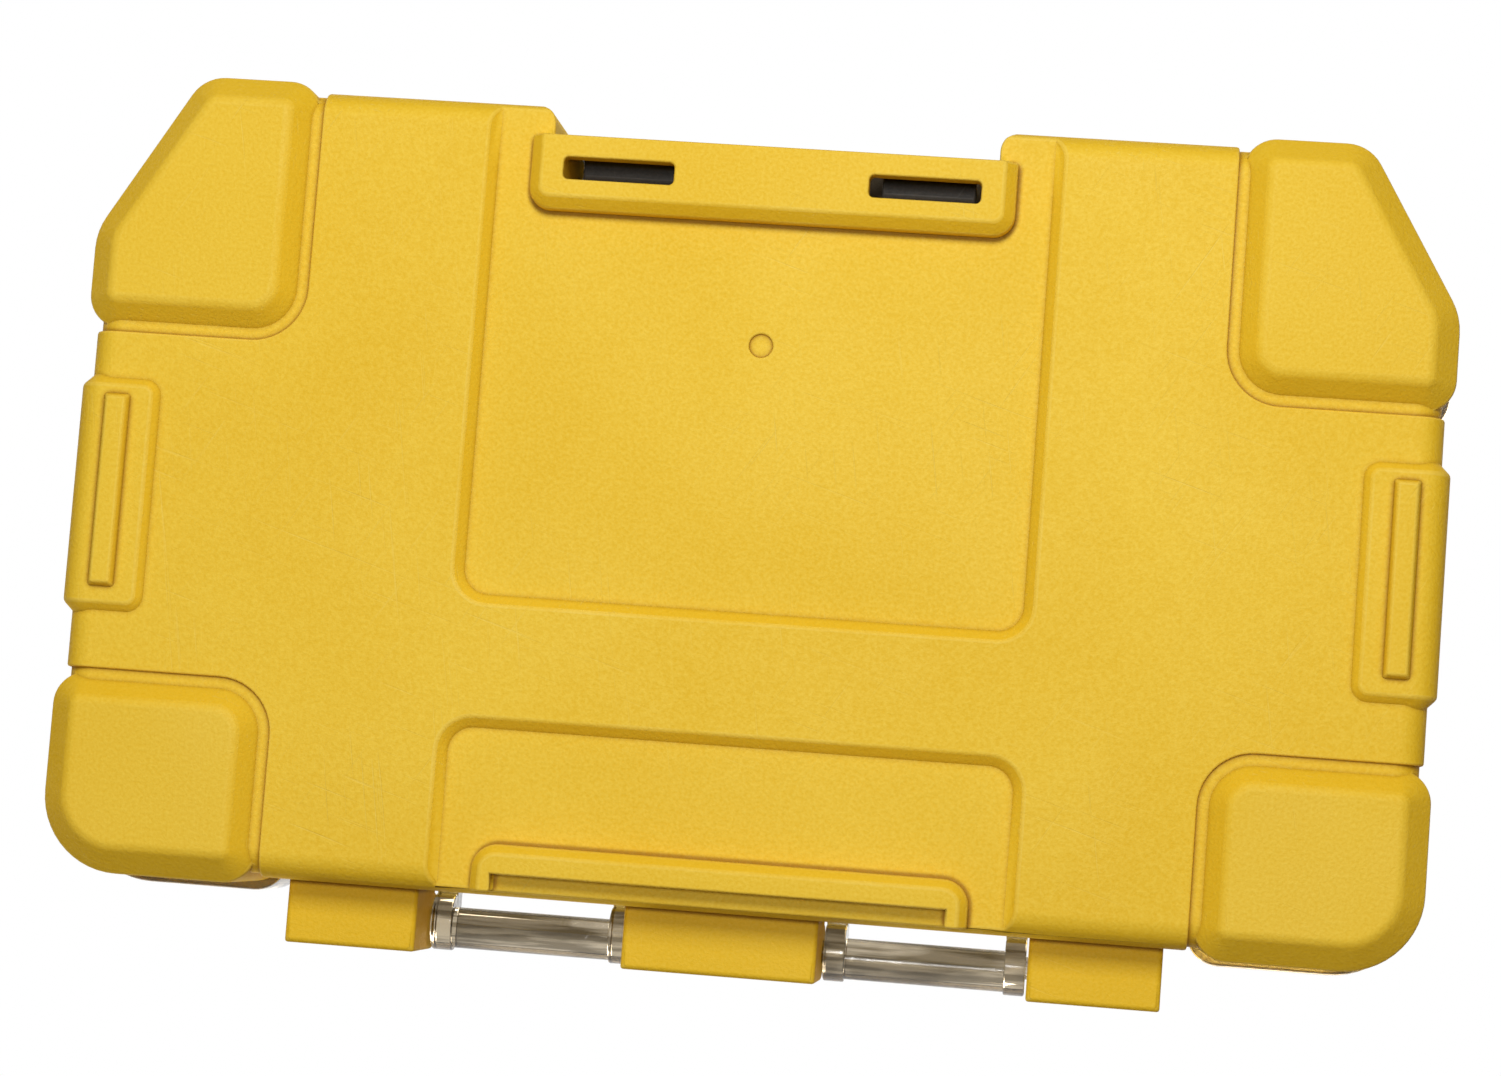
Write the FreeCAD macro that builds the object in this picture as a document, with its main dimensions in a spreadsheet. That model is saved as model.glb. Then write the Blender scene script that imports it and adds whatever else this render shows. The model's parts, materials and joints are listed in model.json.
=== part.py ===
import FreeCAD, Part
import os
import re
import Sketcher

# A compartment case lying on its underside, in millimetres. X runs along the hinge, the latch is at -Y,
# the hinge at +Y, and Z = 0 is the surface that the bumpers stand on.
doc = FreeCAD.newDocument("compartment_case")
sheet = doc.addObject("Spreadsheet::Sheet", "Sizes")

# Driving dimensions
SIZES = {
    "overall_length": (192.4, "along the hinge, over the lid bumpers"),
    "overall_depth": (121.4, "lid bumpers to the back of the knuckles"),
    "base_height": (24.0, "underside to parting line"),
    "lid_height": (16.0, "parting line to the top of the lid bumpers"),
    "rim_gap": (0.2, "seam between base and closed lid"),
    "wall": (2.0, "side walls of base and lid"),
    "lid_roof": (2.0, "thickness of the lid's top wall"),
    "rim_step": (1.3, "lid bumpers stand proud of base bumpers"),
    "bumper_proud": (1.1, "base bumpers stand proud of the side walls"),
    "face_step": (2.2, "bumper faces stand proud of the flat faces"),
    "corner_cut_x": (14.1, "front corner cut, along the hinge"),
    "corner_cut_y": (23.8, "front corner cut, along the depth"),
    "rear_corner_radius": (12.2, "rear corners in plan, on the lid bumpers"),
    "bumper_width": (29.6, "bumper on the base, along the hinge"),
    "front_bumper_depth": (35.4, "front bumper on the base, in plan"),
    "rear_bumper_depth": (26.6, "rear bumper on the base, in plan"),
    "bumper_inner_radius": (6.0, "inner corner of a bumper in plan"),
    "bumper_corner_radius": (4.6, "other corners of a bumper in plan"),
    "cut_front_radius": (5.5, "bumper corner between front side and corner cut"),
    "cut_side_radius": (9.0, "bumper corner between corner cut and short side"),
    "bumper_bevel": (3.7, "bevel round a bumper's face"),
    "band_width": (1.6, "groove that frames a bumper"),
    "band_drop": (0.5, "depth of that groove"),
    "edge_radius": (3.8, "rounded edge of the base's underside"),
    "lid_bevel": (2.4, "bevelled edges of the lid's top"),
    "recess_drop": (1.5, "depth of the underside recesses"),
    "floor_wall": (1.5, "floor above the recesses"),
    "front_recess_width": (80.2, "recess that runs back from the latch"),
    "front_recess_depth": (70.5, "its depth from the front wall"),
    "rear_recess_width": (80.8, "recess that runs forward from the hinge"),
    "rear_recess_depth": (24.3, "its depth from the rear wall"),
    "recess_radius": (5.0, "recess corners in plan"),
    "gate_radius": (1.6, "moulding gate mark"),
    "gate_drop": (0.4, "depth of the mark"),
    "gate_place": (32.0, "mark behind the front wall"),
    "side_pad_length": (33.8, "raised pad in the middle of each short side"),
    "side_pad_place": (0.5, "its middle, from the middle of the case towards the hinge"),
    "side_pad_width": (12.4, "its width on the underside"),
    "side_pad_drop": (1.1, "its face above the standing plane"),
    "side_pad_rise": (19.0, "height of its top on the side wall"),
    "side_pad_bevel": (1.7, "bevel round its face"),
    "side_pad_radius": (2.9, "its inner corners"),
    "side_pad_round": (3.8, "its rounded outer edge"),
    "side_bar_margin": (3.9, "half the length that the pad has over its bar"),
    "side_bar_width": (2.7, "width of that bar's face"),
    "side_bar_inset": (4.6, "bar's face from the outer face of the pad"),
    "side_bar_slope": (25, "slope of the bar's sides, degrees from upright"),
    "plate_setback": (4.8, "slotted latch plate behind the front wall"),
    "plate_margin": (2.7, "slotted latch plate past each side of the alcove"),
    "plate_depth": (10.3, "slotted latch plate, along the depth"),
    "plate_bevel": (1.7, "its sloped border"),
    "plate_radius": (3.0, "its corners"),
    "slot_length": (15.4, "latch slot"),
    "slot_width": (3.1, "latch slot"),
    "slot_radius": (0.7, "latch slot's corners"),
    "slot_spacing": (42.4, "between slot centres"),
    "slot_setback": (3.1, "slot behind the plate's front edge"),
    "alcove_margin": (2.1, "latch alcove past the outer ends of the slots"),
    "alcove_wall": (4.6, "block beside the alcove that holds the latch pivot"),
    "mouth_radius": (2.8, "round corners of the alcove's mouth"),
    "flange_wall": (2.8, "latch plate's thickness under the alcove"),
    "ledge_level": (14.8, "underside of the catch ledges"),
    "ledge_height": (2.6, "catch ledge"),
    "ledge_reach": (3.3, "catch ledge out of the alcove wall"),
    "hook_bite": (1.2, "hook under the ledge"),
    "hook_gap": (0.3, "hook below the ledge"),
    "hook_height": (2.5, "hook"),
    "hook_side_gap": (1.1, "hook inside the slot's ends"),
    "guide_gap": (0.4, "hook guide behind the latch"),
    "latch_side_gap": (0.6, "latch to alcove sides"),
    "latch_wall": (2.2, "latch thickness"),
    "latch_setback": (0.2, "latch foot behind the plate's front edge"),
    "latch_belly": (2.6, "latch bows out in front of its foot"),
    "latch_foot_gap": (1.6, "latch above the flange"),
    "latch_belly_level": (17.0, "lower end of the bow"),
    "latch_shoulder_level": (25.0, "upper end of the bow"),
    "pivot_drop": (6.5, "latch pivot below the lid's top"),
    "pivot_setback": (2.4, "latch pivot behind the plate's front edge"),
    "latch_barrel_radius": (4.0, "latch barrel round the pivot"),
    "latch_back_gap": (0.6, "latch barrel to the alcove's rear wall"),
    "grip_count": (3, "finger grip ribs on the latch"),
    "grip_height": (1.2, "finger grip ribs on the latch"),
    "grip_length": (30.0, "finger grip ribs on the latch"),
    "trunnion_radius": (1.8, "latch trunnion"),
    "trunnion_length": (2.6, "latch trunnion, from the latch's end"),
    "fit_clearance": (0.05, "radial running fit of both pivots"),
    "end_clearance": (0.4, "past the end of a trunnion or stub"),
    "hood_length": (68.0, "hood at the hinge side"),
    "hood_depth": (7.1, "hood from the rear wall"),
    "hood_tail": (0.6, "hood's end inside the rear wall"),
    "hood_bevel": (1.3, "hood's sloped border"),
    "hood_radius": (3.6, "hood's corners"),
    "hood_rim": (2.8, "flat bar across the hood"),
    "hood_side": (3.0, "hood past each end of its mouth"),
    "hood_wall": (1.5, "hood's roof over its pocket"),
    "hood_undercut": (1.9, "pocket under the flat bar"),
    "hood_pocket_height": (1.9, "height of the pocket"),
    "knuckle_radius": (4.05, "hinge knuckle round the axis"),
    "hinge_clearance": (0.7, "lid wall past the knuckle"),
    "knuckle_level": (10.0, "flat underside of the knuckles"),
    "knuckle_round": (0.8, "rounded edges of that underside"),
    "knuckle_inset": (4.5, "end knuckles inside the bumpers' inner edges"),
    "centre_knuckle_length": (27.0, "middle knuckle of the base"),
    "outer_knuckle_length": (18.3, "each end knuckle of the base"),
    "knuckle_gap": (0.3, "between knuckle and barrel ends"),
    "barrel_ring_length": (3.0, "ring at each end of a barrel"),
    "barrel_ring_drop": (0.05, "ring inside the knuckle's radius"),
    "barrel_rod_radius": (2.9, "barrel between its rings"),
    "barrel_rod_offset": (0.7, "barrel behind the axis"),
    "stub_radius": (1.6, "pivot stub on a barrel"),
    "stub_length": (4.5, "pivot stub on a barrel"),
    "front_row": (54.4, "clear depth of the front compartments"),
    "divider_wall": (1.5, "thickness of a divider"),
    "divider_height": (17.0, "height of a divider"),
    "divider_corner": (2.5, "lead-in cut of a cross divider's top corners"),
    "divider_clearance": (0.2, "divider in its seat, each side"),
    "rib_size": (1.2, "moulded seat rib"),
    "cell_pitch": (22.9, "step of the divider seats along the hinge"),
    "lid_panel_length": (122.0, "shallow panel in the lid's top"),
    "lid_panel_depth": (62.0, "shallow panel in the lid's top"),
    "lid_panel_drop": (0.8, "depth of that panel"),
    "cut_over": (1.0, "cuts run this far past a face"),
    "root": (0.5, "fused pieces reach this far into their carrier"),
}

# Places worked out from the driving dimensions
PLACES = {
    "half_length": "overall_length / 2",
    "front": "-overall_depth / 2",
    "lid_top": "base_height + lid_height",
    "lid_low": "base_height + rim_gap",
    "side_inset": "rim_step + bumper_proud",
    "side_pad_front": "side_pad_place - side_pad_length / 2",
    "side_pad_rear": "side_pad_place + side_pad_length / 2",
    "inner_inset": "side_inset + wall",
    "corner_cut": "sqrt(corner_cut_x * corner_cut_x + corner_cut_y * corner_cut_y)",
    "main_front": "front + side_inset",
    "main_rear": "overall_depth / 2 - axis_offset - knuckle_radius",
    "rear": "main_rear + side_inset",
    "axis_offset": "knuckle_radius + hinge_clearance",
    "axis_y": "main_rear + axis_offset",
    "axis_z": "base_height",
    "bumper_skirt": "bumper_bevel - face_step - band_drop",
    "bumper_inner": "half_length - rim_step - bumper_width",
    "front_bumper_end": "front + rim_step + front_bumper_depth",
    "rear_bumper_start": "rear - rim_step - rear_bumper_depth",
    "recess_level": "face_step + recess_drop",
    "floor_level": "recess_level + floor_wall",
    "plate_front": "main_front + plate_setback",
    "slot_inner": "(slot_spacing - slot_length) / 2",
    "slot_outer": "slot_inner + slot_length",
    "slot_front": "plate_front + slot_setback",
    "alcove_half": "slot_outer + alcove_margin",
    "alcove_side": "alcove_half + alcove_wall",
    "alcove_back": "pivot_y + latch_barrel_radius + latch_back_gap",
    "plate_half": "alcove_half + plate_margin",
    "hook_tip": "alcove_back - ledge_reach + hook_bite",
    "hook_top": "ledge_level - hook_gap",
    "latch_half": "alcove_half - latch_side_gap",
    "latch_foot": "flange_wall + latch_foot_gap",
    "latch_front": "plate_front + latch_setback",
    "pivot_y": "plate_front + pivot_setback",
    "pivot_z": "lid_top - pivot_drop",
    "hood_front": "main_rear - hood_depth",
    "hood_mouth": "hood_front + hood_bevel + hood_rim",
    "hood_ceiling": "hood_wall + hood_pocket_height",
    "hood_opening": "hood_length - 2 * hood_side",
    "outer_knuckle_end": "bumper_inner - knuckle_inset",
    "outer_knuckle_start": "outer_knuckle_end - outer_knuckle_length",
    "barrel_start": "centre_knuckle_length / 2 + knuckle_gap",
    "barrel_end": "outer_knuckle_start - knuckle_gap",
    "barrel_ring_radius": "knuckle_radius - barrel_ring_drop",
    "inner_half": "half_length - inner_inset",
    "inner_front": "main_front + wall",
    "inner_rear": "main_rear - wall",
    "alcove_inner": "alcove_back + wall",
    "long_front": "inner_front + front_row",
    "long_rear": "long_front + divider_wall",
    "divider_top": "floor_level + divider_height",
    "rib_offset": "divider_wall / 2 + divider_clearance",
}

for row, (alias, (number, note)) in enumerate(SIZES.items(), start=1):
    sheet.set(f"A{row}", note)
    sheet.set(f"B{row}", str(number))
    sheet.setAlias(f"B{row}", alias)
doc.recompute()


def formula(text):
    """The same formula, with places spelled out and each size read from the sheet."""

    def read(match):
        word = match[0]
        if word in PLACES:
            return "(" + formula(PLACES[word]) + ")"
        return f"Sizes.{word}" if word in SIZES else word

    return re.sub(r"[a-z]\w*", read, text)


def value(text):
    return float(sheet.evalExpression(formula(text)))


def tie(thing, **formulas):
    """Binds properties of an object to the sheet. A double underscore in a name stands for a dot."""
    for name, text in formulas.items():
        thing.setExpression(name.replace("__", "."), formula(text))


# Sketches and features


def new_body(name):
    return doc.addObject("PartDesign::Body", name)


def outline(body, name, plane, level, corners):
    """A closed outline of straight lines on an origin plane, with every corner tied to the sheet."""
    sketch = body.newObject("Sketcher::SketchObject", name)
    support = next(item for item in body.Origin.OriginFeatures if item.Role == plane)
    sketch.AttachmentSupport = [(support, "")]
    sketch.MapMode = "FlatFace"
    tie(sketch, AttachmentOffset__Base__z=level)
    points = [FreeCAD.Vector(value(across), value(along), 0) for across, along in corners]
    for index, point in enumerate(points):
        sketch.addGeometry(Part.LineSegment(point, points[(index + 1) % len(points)]))
    for index, (across, along) in enumerate(corners):
        point = points[index]
        before = (index - 1) % len(points)
        sketch.addConstraint(Sketcher.Constraint("Coincident", before, 2, index, 1))
        for kind, number, text in (("DistanceX", point.x, across), ("DistanceY", point.y, along)):
            place = sketch.addConstraint(Sketcher.Constraint(kind, -1, 1, index, 1, number))
            sketch.setExpression(f"Constraints[{place}]", formula(text))
    return sketch


def pad(body, name, plane, low, high, corners):
    """A straight block of the outline, between two levels along the plane's normal."""
    block = body.newObject("PartDesign::Pad", name)
    block.Profile = outline(body, name + "_outline", plane, low, corners)
    tie(block, Length=f"({high}) - ({low})")
    doc.recompute()
    return block


def edge_names(feature, chosen):
    return [f"Edge{number}" for number, edge in enumerate(feature.Shape.Edges, start=1) if chosen(edge)]


def round_edges(body, name, radius, chosen):
    fillet = body.newObject("PartDesign::Fillet", name)
    base = body.Tip if body.Tip != fillet else fillet.BaseFeature
    fillet.Base = (base, edge_names(base, chosen))
    tie(fillet, Radius=radius)
    doc.recompute()
    return fillet


def bevel_edges(body, name, size, chosen):
    chamfer = body.newObject("PartDesign::Chamfer", name)
    base = body.Tip if body.Tip != chamfer else chamfer.BaseFeature
    chamfer.Base = (base, edge_names(base, chosen))
    tie(chamfer, Size=size)
    doc.recompute()
    return chamfer


NEAR = 1e-4
HINGE = ("axis_y", "axis_z")
PIVOT = ("pivot_y", "pivot_z")


def upright_at(*corners):
    """Chooses the upright edges that stand at these corners."""
    spots = [(value(x), value(y)) for x, y in corners]

    def chosen(edge):
        box = edge.BoundBox
        upright = box.XLength < NEAR and box.YLength < NEAR
        return upright and any(abs(box.XMin - x) < NEAR and abs(box.YMin - y) < NEAR for x, y in spots)

    return chosen


def lying_at(level, besides_x=None, besides_y=None):
    """Chooses the edges that lie at a level, besides those along one line of constant X or Y."""
    height = value(level)

    def chosen(edge):
        box = edge.BoundBox
        lies = abs(box.ZMin - height) < NEAR and box.ZLength < NEAR
        on_x = besides_x and box.XLength < NEAR and abs(box.XMin - value(besides_x)) < NEAR
        on_y = besides_y and box.YLength < NEAR and abs(box.YMin - value(besides_y)) < NEAR
        return lies and not on_x and not on_y

    return chosen


def along_y_at(across, level):
    """Chooses the straight edge along Y at this place and level."""
    x = value(across)
    z = value(level)

    def chosen(edge):
        box = edge.BoundBox
        straight = box.XLength < NEAR and box.ZLength < NEAR
        return straight and abs(box.XMin - x) < NEAR and abs(box.ZMin - z) < NEAR

    return chosen


def round_a_side_pad(outer):
    """Chooses the edges round a side pad's face, and those that run up its two ends to the top."""
    on_face = lying_at("side_pad_drop", besides_x=f"{outer} - side_pad_round")
    ends = (value("side_pad_front"), value("side_pad_rear"))
    start_of_round = value(f"{outer} - side_pad_round")
    top = value("side_pad_rise")

    def chosen(edge):
        box = edge.BoundBox
        at_end = box.YLength < NEAR and any(abs(box.YMin - end) < NEAR for end in ends)
        runs_up = box.ZLength > NEAR and box.XMin > start_of_round - NEAR and box.ZMin < top - NEAR
        return on_face(edge) or (at_end and runs_up)

    return chosen


def box(name, x, y, z):
    """A block between two formulas on each axis."""
    block = doc.addObject("Part::Box", name)
    tie(block, Length=f"({x[1]}) - ({x[0]})", Width=f"({y[1]}) - ({y[0]})", Height=f"({z[1]}) - ({z[0]})")
    tie(block, Placement__Base__x=x[0], Placement__Base__y=y[0], Placement__Base__z=z[0])
    return block


def rod(name, x, centre, radius):
    """A round bar along X between two formulas, about a centre in Y and Z."""
    bar = doc.addObject("Part::Cylinder", name)
    bar.Placement = FreeCAD.Placement(FreeCAD.Vector(), FreeCAD.Rotation(FreeCAD.Vector(0, 1, 0), 90))
    tie(bar, Radius=radius, Height=f"({x[1]}) - ({x[0]})")
    tie(bar, Placement__Base__x=x[0], Placement__Base__y=centre[0], Placement__Base__z=centre[1])
    return bar


def mirror(source):
    """The same piece on the other side of the middle plane."""
    copy = doc.addObject("Part::Mirroring", source.Name + "_mirror")
    copy.Source = source
    copy.Normal = FreeCAD.Vector(1, 0, 0)
    return copy


def both_sides(source):
    return [source, mirror(source)]


def fuse(name, pieces):
    joined = doc.addObject("Part::MultiFuse", name)
    joined.Shapes = pieces
    doc.recompute()
    return joined


def cut(name, base, tools):
    result = doc.addObject("Part::Cut", name)
    result.Base = base
    result.Tool = tools[0] if len(tools) == 1 else fuse(name + "_tools", tools)
    doc.recompute()
    return result


# Plan outlines that base and lid share


def side_at(inset):
    return f"half_length - ({inset})"


def front_cut_at(inset):
    """The two ends of the right front corner cut, moved in by an inset."""
    lower = f"front + corner_cut_y + ({inset}) * (corner_cut - corner_cut_y) / corner_cut_x"
    inner = f"half_length - corner_cut_x - ({inset}) * (corner_cut - corner_cut_x) / corner_cut_y"
    return (inner, f"front + ({inset})"), (side_at(inset), lower)


def mirrored(corners):
    return [(f"-({x})", y) for x, y in reversed(corners)]


def case_outline(inset, notch=None):
    """The plan of the case at an inset from the lid bumpers, with an optional notch in the front side."""
    inner, outer = front_cut_at(inset)
    right = [inner, outer, (side_at(inset), f"rear - ({inset})")]
    if notch:
        right = [(notch[0], notch[1]), (notch[0], inner[1])] + right
    return right + mirrored(right)


def front_bumper_outline(inset, grow):
    inner, outer = front_cut_at(inset)
    inner_x = f"bumper_inner - {grow}"
    end = f"front_bumper_end + {grow}"
    return [(inner_x, inner[1]), inner, outer, (side_at(inset), end), (inner_x, end)]


def rear_bumper_outline(inset, grow):
    inner_x = f"bumper_inner - {grow}"
    start = f"rear_bumper_start - {grow}"
    back = f"rear - ({inset})"
    return [(inner_x, start), (side_at(inset), start), (side_at(inset), back), (inner_x, back)]


def bumper(name, corners, radii, low, high, face):
    """A corner bumper with its own radius at each corner and a bevel round its face."""
    body = new_body(name)
    pad(body, name + "_block", "XY_Plane", low, high, corners)
    for number, radius in enumerate(sorted(set(radii)), start=1):
        alike = [corner for corner, own in zip(corners, radii) if own == radius]
        round_edges(body, f"{name}_corners_{number}", radius, upright_at(*alike))
    bevel_edges(body, name + "_slope", "bumper_bevel", lying_at(face))
    return body


def bumpers(prefix, inset, low, high, face):
    """The four corner bumpers of the base or of the lid. Their slopes end below the groove's floor."""
    plain = "bumper_corner_radius"
    inner = "bumper_inner_radius + bumper_skirt"
    front_radii = [plain, "cut_front_radius", "cut_side_radius", plain, inner]
    rear_radii = [inner, plain, f"rear_corner_radius - ({inset})", plain]
    front_corners = front_bumper_outline(inset, "bumper_skirt")
    rear_corners = rear_bumper_outline(inset, "bumper_skirt")
    front = bumper(prefix + "_front_bumper", front_corners, front_radii, low, high, face)
    rear = bumper(prefix + "_rear_bumper", rear_corners, rear_radii, low, high, face)
    return both_sides(front) + both_sides(rear)


def rounded(body, name, face):
    """The rounded edge of the base's flat underside."""
    return round_edges(body, name, "edge_radius", lying_at(face))


def bevelled(body, name, face):
    """The bevelled edge of the lid's flat top."""
    return bevel_edges(body, name, "lid_bevel", lying_at(face))


def bands(prefix, low, high):
    """The plan of each bumper with its frame, as upright cutters."""
    pieces = []
    for end, corners, inner in (
        ("front", front_bumper_outline("-cut_over", "band_width"), 4),
        ("rear", rear_bumper_outline("-cut_over", "band_width"), 0),
    ):
        name = f"{prefix}_{end}_band"
        body = new_body(name)
        pad(body, name + "_block", "XY_Plane", low, high, corners)
        round_edges(body, name + "_corner", "bumper_inner_radius + band_width", upright_at(corners[inner]))
        pieces += both_sides(body)
    return pieces


def main_block(prefix, inset, low, high, face, soften):
    """A block with the plan of the case, with round rear corners and a softened edge round its face."""
    corners = case_outline(inset)
    body = new_body(prefix + "_block")
    pad(body, prefix + "_walls", "XY_Plane", low, high, corners)
    rear_corners = upright_at(corners[2], corners[3])
    round_edges(body, prefix + "_rear_corners", f"rear_corner_radius - ({inset})", rear_corners)
    soften(body, prefix + "_edge", face)
    return body


def framed_block(prefix, levels, core_levels, face, core_face, soften):
    """The case without its bumpers. A smaller core shows in the shallow groove that frames each bumper."""
    panels = main_block(prefix, "side_inset", *levels, face, soften)
    core = main_block(prefix + "_core", "side_inset + band_drop", *core_levels, core_face, soften)
    low, high = levels
    cutters = bands(prefix, f"{low} - cut_over", f"{high} + cut_over")
    return fuse(prefix + "_framed", [cut(prefix + "_panels", panels, cutters), core])


def hollow(prefix, low, high):
    """The room inside the walls, which leaves the latch alcove its own wall."""
    corners = case_outline("inner_inset", notch=("alcove_side", "alcove_inner"))
    body = new_body(prefix + "_hollow")
    pad(body, prefix + "_room", "XY_Plane", low, high, corners)
    rear_corners = upright_at(corners[4], corners[5])
    round_edges(body, prefix + "_room_corners", "rear_corner_radius - inner_inset", rear_corners)
    return body


def alcove(prefix, low, high, mouth_low):
    """Cutters for the latch alcove and for its mouth, which leaves round corners on the front wall."""
    room = box(
        prefix + "_alcove",
        ("-alcove_half", "alcove_half"),
        ("plate_front - root", "alcove_back"),
        (low, high),
    )
    body = new_body(prefix + "_mouth")
    corner = ("alcove_half", "main_front")
    beside = "alcove_half + 2 * mouth_radius"
    right = [("alcove_half", "plate_front"), corner]
    right += [(beside, "main_front"), (beside, "main_front - cut_over")]
    pad(body, prefix + "_mouth_block", "XY_Plane", mouth_low, high, right + mirrored(right))
    round_edges(body, prefix + "_mouth_corners", "mouth_radius", upright_at(corner, *mirrored([corner])))
    return [room, body]


# Base shell


def recess(name, width, start, end, inner_end):
    """A cutter for an underside recess with sloped borders and two round corners at its inner end."""
    body = new_body(name)
    right = [(f"{width} / 2", start), (f"{width} / 2", end)]
    corners = right + mirrored(right)
    pad(body, name + "_block", "XY_Plane", "-cut_over", "recess_level", corners)
    inner_corners = [corner for corner in corners if corner[1] == inner_end]
    round_edges(body, name + "_corners", "recess_radius", upright_at(*inner_corners))
    bevel_edges(body, name + "_slope", "recess_drop", lying_at("recess_level"))
    return body


def side_pads():
    """The raised pad in the middle of each short side, with its bar."""
    body = new_body("side_pad")
    outer = side_at("rim_step")
    inner = f"{outer} - side_pad_width"
    corners = [(inner, "side_pad_front"), (outer, "side_pad_front")]
    corners += [(outer, "side_pad_rear"), (inner, "side_pad_rear")]
    pad(body, "side_pad_block", "XY_Plane", "side_pad_drop", "side_pad_rise", corners)
    round_edges(body, "side_pad_corners", "side_pad_radius", upright_at(corners[0], corners[3]))
    round_edges(body, "side_pad_outer", "side_pad_round", along_y_at(outer, "side_pad_drop"))
    bevel_edges(body, "side_pad_border", "side_pad_bevel", round_a_side_pad(outer))
    bevel_edges(body, "side_pad_top", "bumper_proud", lying_at("side_pad_rise"))
    bar = new_body("side_bar")
    right = f"{outer} - side_bar_inset"
    left = f"{right} - side_bar_width"
    tip = "(side_pad_length / 2 - side_bar_margin)"
    bar_corners = [(left, f"-{tip}"), (right, f"-{tip}"), (right, tip), (left, tip)]
    block = pad(bar, "side_bar_block", "XY_Plane", "0", "side_pad_drop + root", bar_corners)
    tie(block, TaperAngle="side_bar_slope")
    doc.recompute()
    return both_sides(body) + both_sides(bar)


def latch_plate():
    """The raised plate under the latch alcove, sloped on three sides."""
    body = new_body("latch_plate")
    rear = "plate_front + plate_depth"
    right = [("plate_half", "plate_front"), ("plate_half", rear)]
    pad(body, "latch_plate_block", "XY_Plane", "0", "recess_level + root", right + mirrored(right))
    round_edges(body, "latch_plate_corners", "plate_radius", upright_at(right[1], mirrored(right)[0]))
    bevel_edges(body, "latch_plate_slope", "plate_bevel", lying_at("0", besides_y="plate_front"))
    return body


def hood():
    """The raised hood at the hinge side, sloped on three sides."""
    body = new_body("hood")
    tail = "main_rear - hood_tail"
    right = [("hood_length / 2", "hood_front"), ("hood_length / 2", tail)]
    pad(body, "hood_block", "XY_Plane", "0", "recess_level + root", right + mirrored(right))
    round_edges(body, "hood_corners", "hood_radius", upright_at(right[0], mirrored(right)[1]))
    bevel_edges(body, "hood_slope", "hood_bevel", lying_at("0", besides_y=tail))
    return body


def hood_cuts():
    """The mouth of the hood and the pocket under its flat bar."""
    across = ("-hood_opening / 2", "hood_opening / 2")
    beyond = "main_rear + cut_over"
    mouth = box("hood_mouth", across, ("hood_mouth", beyond), ("-cut_over", "hood_ceiling"))
    pocket = box("hood_pocket", across, ("hood_mouth - hood_undercut", beyond), ("hood_wall", "hood_ceiling"))
    return [mouth, pocket]


def knuckle(name, start, end):
    """A hinge knuckle: flat below, round about the axis above."""
    body = new_body(name)
    rooted = "main_rear - root"
    back = "axis_y + knuckle_radius"
    corners = [(rooted, "knuckle_level"), (back, "knuckle_level"), (back, "axis_z"), (rooted, "axis_z")]
    pad(body, name + "_block", "YZ_Plane", start, end, corners)
    round_edges(body, name + "_edges", "knuckle_round", lying_at("knuckle_level"))
    round_top = rod(name + "_top", (start, end), HINGE, "knuckle_radius")
    return fuse(name + "_whole", [body, round_top])


def knuckles():
    outer = knuckle("outer_knuckle", "outer_knuckle_start", "outer_knuckle_end")
    middle = knuckle("centre_knuckle", "-centre_knuckle_length / 2", "centre_knuckle_length / 2")
    return both_sides(outer) + [middle]


def stub_bores():
    """Blind bores in the knuckles for the lid's stubs."""
    depth = "stub_length - knuckle_gap + end_clearance"
    radius = "stub_radius + fit_clearance"
    middle = "centre_knuckle_length / 2"
    outer = "outer_knuckle_start"
    inner_bore = rod("inner_bore", (f"{middle} - ({depth})", f"{middle} + root"), HINGE, radius)
    outer_bore = rod("outer_bore", (f"{outer} - root", f"{outer} + {depth}"), HINGE, radius)
    return both_sides(inner_bore) + both_sides(outer_bore)


def latch_slots():
    body = new_body("latch_slot")
    back = "slot_front + slot_width"
    corners = [("slot_inner", "slot_front"), ("slot_outer", "slot_front")]
    corners += [("slot_outer", back), ("slot_inner", back)]
    pad(body, "latch_slot_block", "XY_Plane", "-cut_over", "flange_wall + root", corners)
    round_edges(body, "latch_slot_corners", "slot_radius", upright_at(*corners))
    return both_sides(body)


def catches():
    """The ledges that the hooks catch on, and a guide at the outer end of each that follows the latch's back."""
    top = "ledge_level + ledge_height"
    behind = "alcove_back + root"
    ledge = box("catch_ledge", ("slot_inner", "slot_outer"), ("alcove_back - ledge_reach", behind),
                ("ledge_level", top))
    guide = new_body("hook_guide")
    foot = "flange_wall - root"
    head = "latch_belly_level + ledge_height"
    near_foot = "latch_front + latch_wall + guide_gap"
    near_belly = f"{near_foot} - latch_belly"
    profile = [(behind, head), (behind, foot), (near_foot, foot), (near_foot, "latch_foot")]
    profile += [(near_belly, "latch_belly_level"), (near_belly, head)]
    pad(guide, "hook_guide_block", "YZ_Plane", "slot_outer", "alcove_half + root", profile)
    return both_sides(ledge) + both_sides(guide)


def gate_mark():
    """The dimple left by the moulding gate."""
    dimple = doc.addObject("Part::Cylinder", "gate_mark")
    tie(dimple, Radius="gate_radius", Height="gate_drop + cut_over")
    tie(dimple, Placement__Base__y="main_front + gate_place", Placement__Base__z="recess_level - cut_over")
    return dimple


# Divider seats: places along the hinge in steps of the cell pitch
FRONT_CELLS = (-2, 0, 2)
REAR_CELLS = (-2, -1, 1, 2)


def front_wall_at(cell):
    """The inner face of the front wall, or of the alcove where that is in the way."""
    behind_alcove = abs(value(f"cell_pitch * {cell}")) < value("alcove_side")
    return "alcove_inner" if behind_alcove else "inner_front"


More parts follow.
